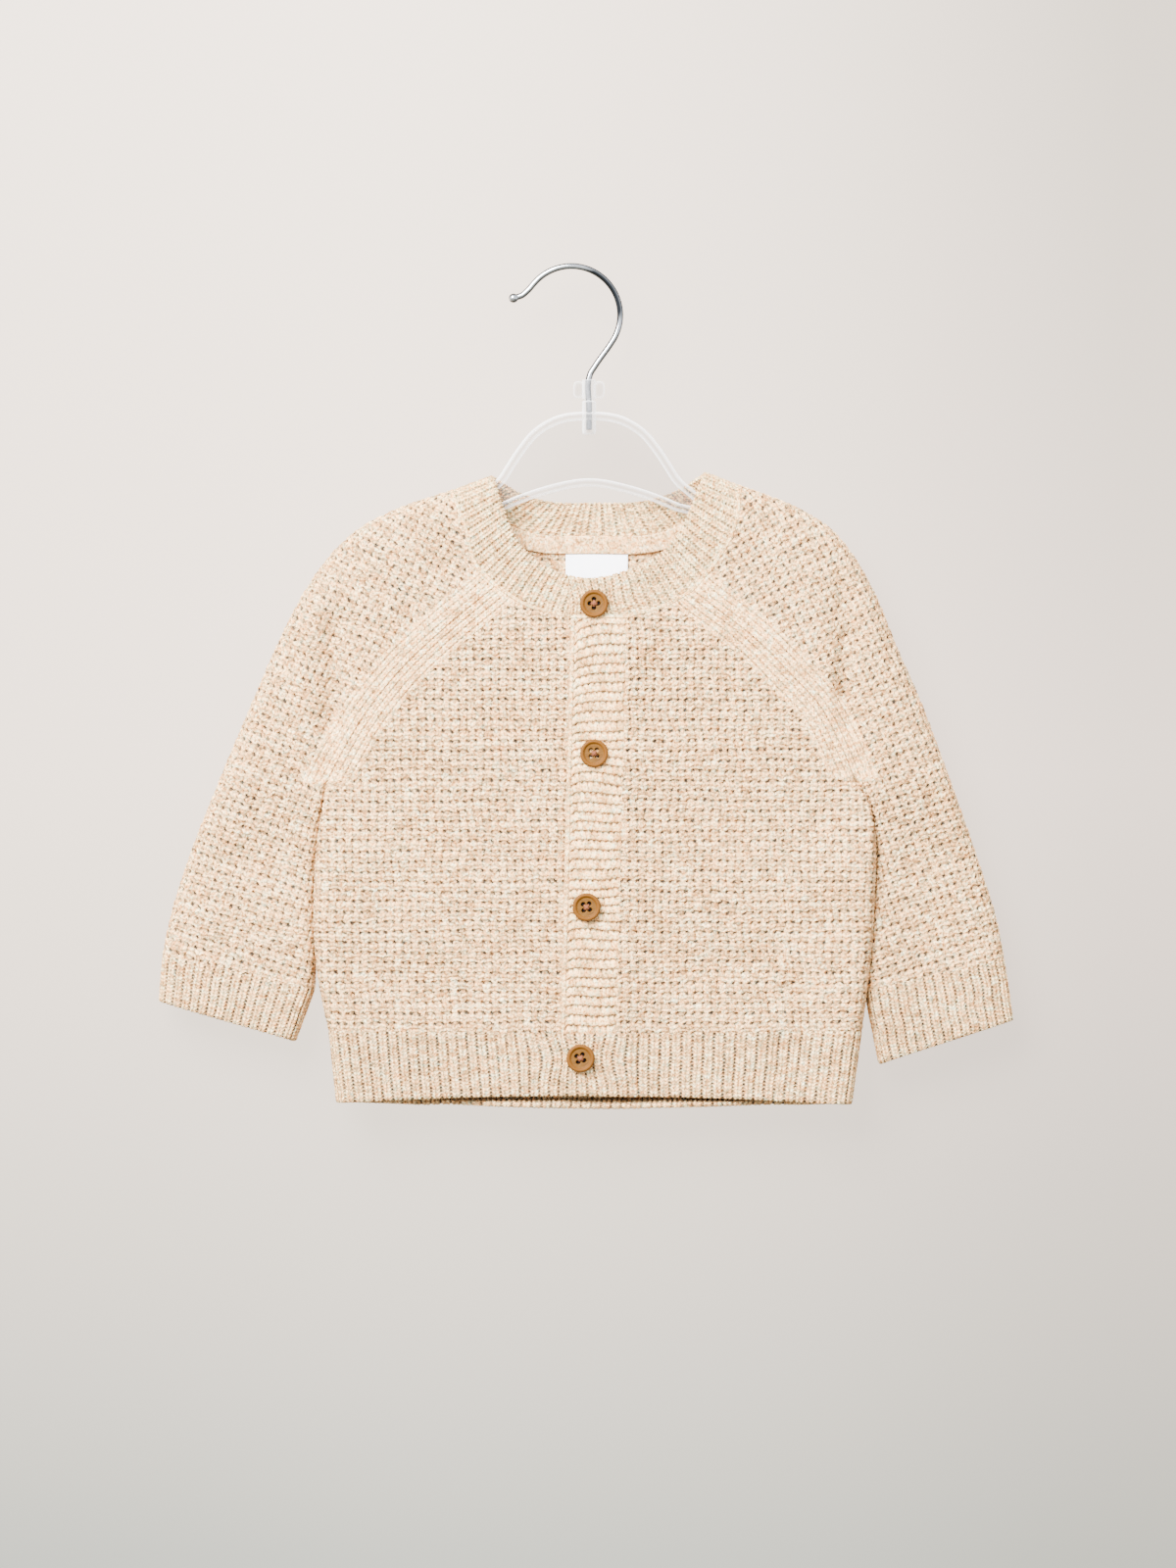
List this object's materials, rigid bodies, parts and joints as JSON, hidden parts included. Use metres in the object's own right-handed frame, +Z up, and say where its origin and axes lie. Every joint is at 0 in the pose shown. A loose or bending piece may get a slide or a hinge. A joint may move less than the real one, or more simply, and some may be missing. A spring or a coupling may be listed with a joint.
{
  "type": "baby cardigan on a hanger",
  "caption": "Knitted baby cardigan with raglan sleeves, ribbed trims and a buttoned front, hung flat on a clear hanger with a metal hook.",
  "frame": {"origin": "inside of the hook's bend, straight above the middle of the hanger, where a rail carries it", "axes": "+Z up, -Y towards the cardigan's front, +X towards the wearer's left, which is the viewer's right"},
  "size_m": [0.4112, 0.0346, 0.4066],
  "materials": {
    "knit": "cream and oat melange yarn in a small basket stitch",
    "rib_knit": "the same yarn in a 1 x 1 rib",
    "neck_tape": "fine jersey tape",
    "label": "white satin ribbon, bare",
    "button_wood": "turned and waxed",
    "clear_plastic": "clear moulded plastic",
    "steel": "bright plated wire"
  },
  "bodies": {
    "root": {"right_front": "knit", "left_front": "knit", "back": "knit", "right_sleeve": "knit", "left_sleeve": "knit", "right_front_rib": "rib_knit", "left_front_rib": "rib_knit", "back_rib": "rib_knit", "right_cuff": "rib_knit", "left_cuff": "rib_knit", "neckband": "rib_knit", "button_band": "rib_knit", "buttonhole_band": "rib_knit", "neck_tape": "neck_tape", "label": "label", "button_1": "button_wood", "button_2": "button_wood", "button_3": "button_wood", "button_4": "button_wood", "hanger_body": "clear_plastic", "hook_collar": "clear_plastic", "hanger_hook": "steel"}
  },
  "joints": []
}
